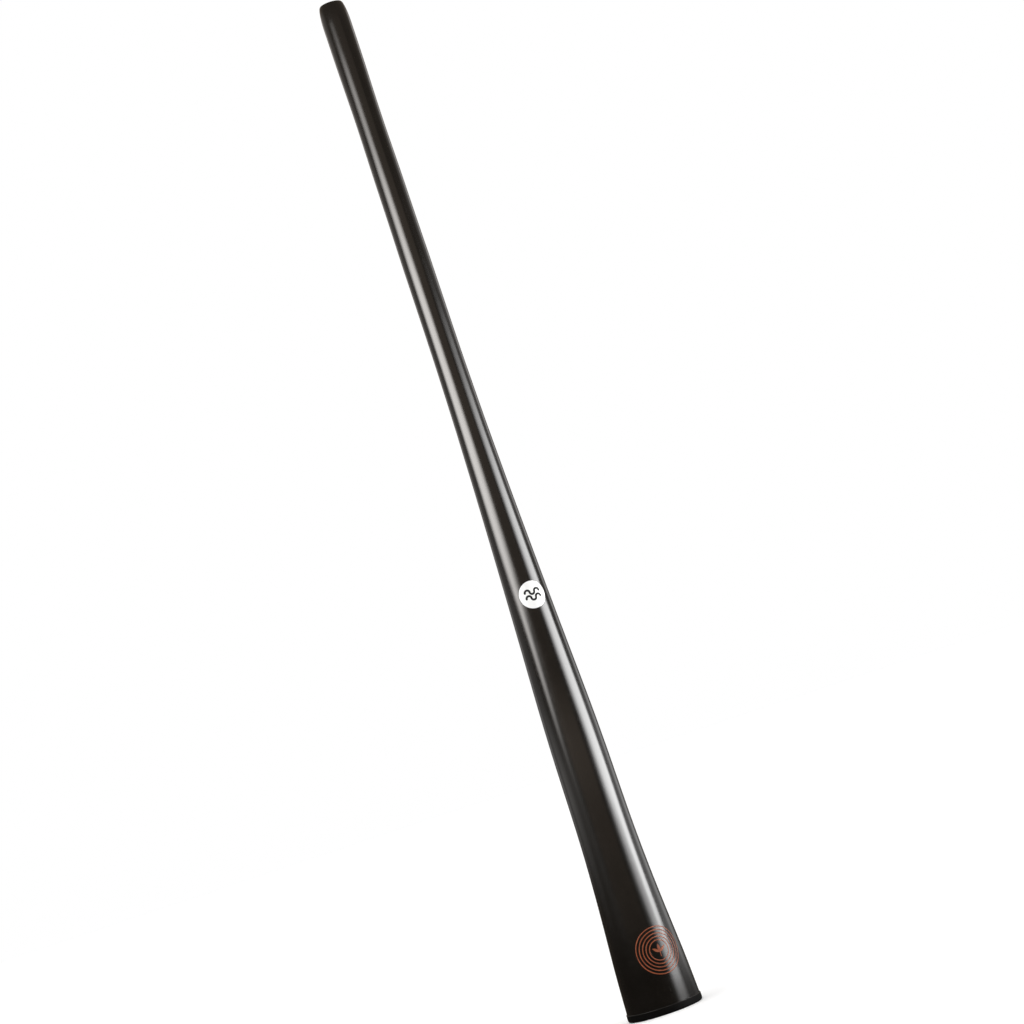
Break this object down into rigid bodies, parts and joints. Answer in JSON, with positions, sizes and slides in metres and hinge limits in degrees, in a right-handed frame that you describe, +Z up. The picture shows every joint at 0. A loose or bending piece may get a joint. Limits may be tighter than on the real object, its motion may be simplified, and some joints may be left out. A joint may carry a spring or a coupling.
{
  "type": "didgeridoo",
  "caption": "Straight flared didgeridoo in satin black laminate, with a rounded mouth lip, a rubber bell guard, a round sticker and a printed ring graphic.",
  "frame": {"origin": "centre of the flat ring under the bell guard, which the object stands on", "axes": "+Z up the pipe's axis from the bell to the mouth; the sticker and the ring graphic face -Y, turned a little towards +X"},
  "size_m": [0.1046, 0.1046, 1.45],
  "materials": {
    "lacquered_laminate": "satin black lacquer over glass-fibre laminate, bare resin inside",
    "lacquered_resin": "satin black lacquer over cast resin, rubbed smoother on the lip",
    "bell_rubber": "matt black rubber",
    "white_vinyl": "semi-matt white vinyl film",
    "black_print": "matt black ink",
    "orange_print": "satin orange-brown ink"
  },
  "bodies": {
    "root": {"body_tube": "lacquered_laminate", "mouthpiece": "lacquered_resin", "bell_guard": "bell_rubber", "badge_sticker": "white_vinyl", "badge_mark": "black_print", "graphic_ring_1": "orange_print", "graphic_ring_2": "orange_print", "graphic_ring_3": "orange_print", "graphic_ring_4": "orange_print", "graphic_ring_5": "orange_print", "graphic_emblem": "orange_print"}
  },
  "joints": []
}
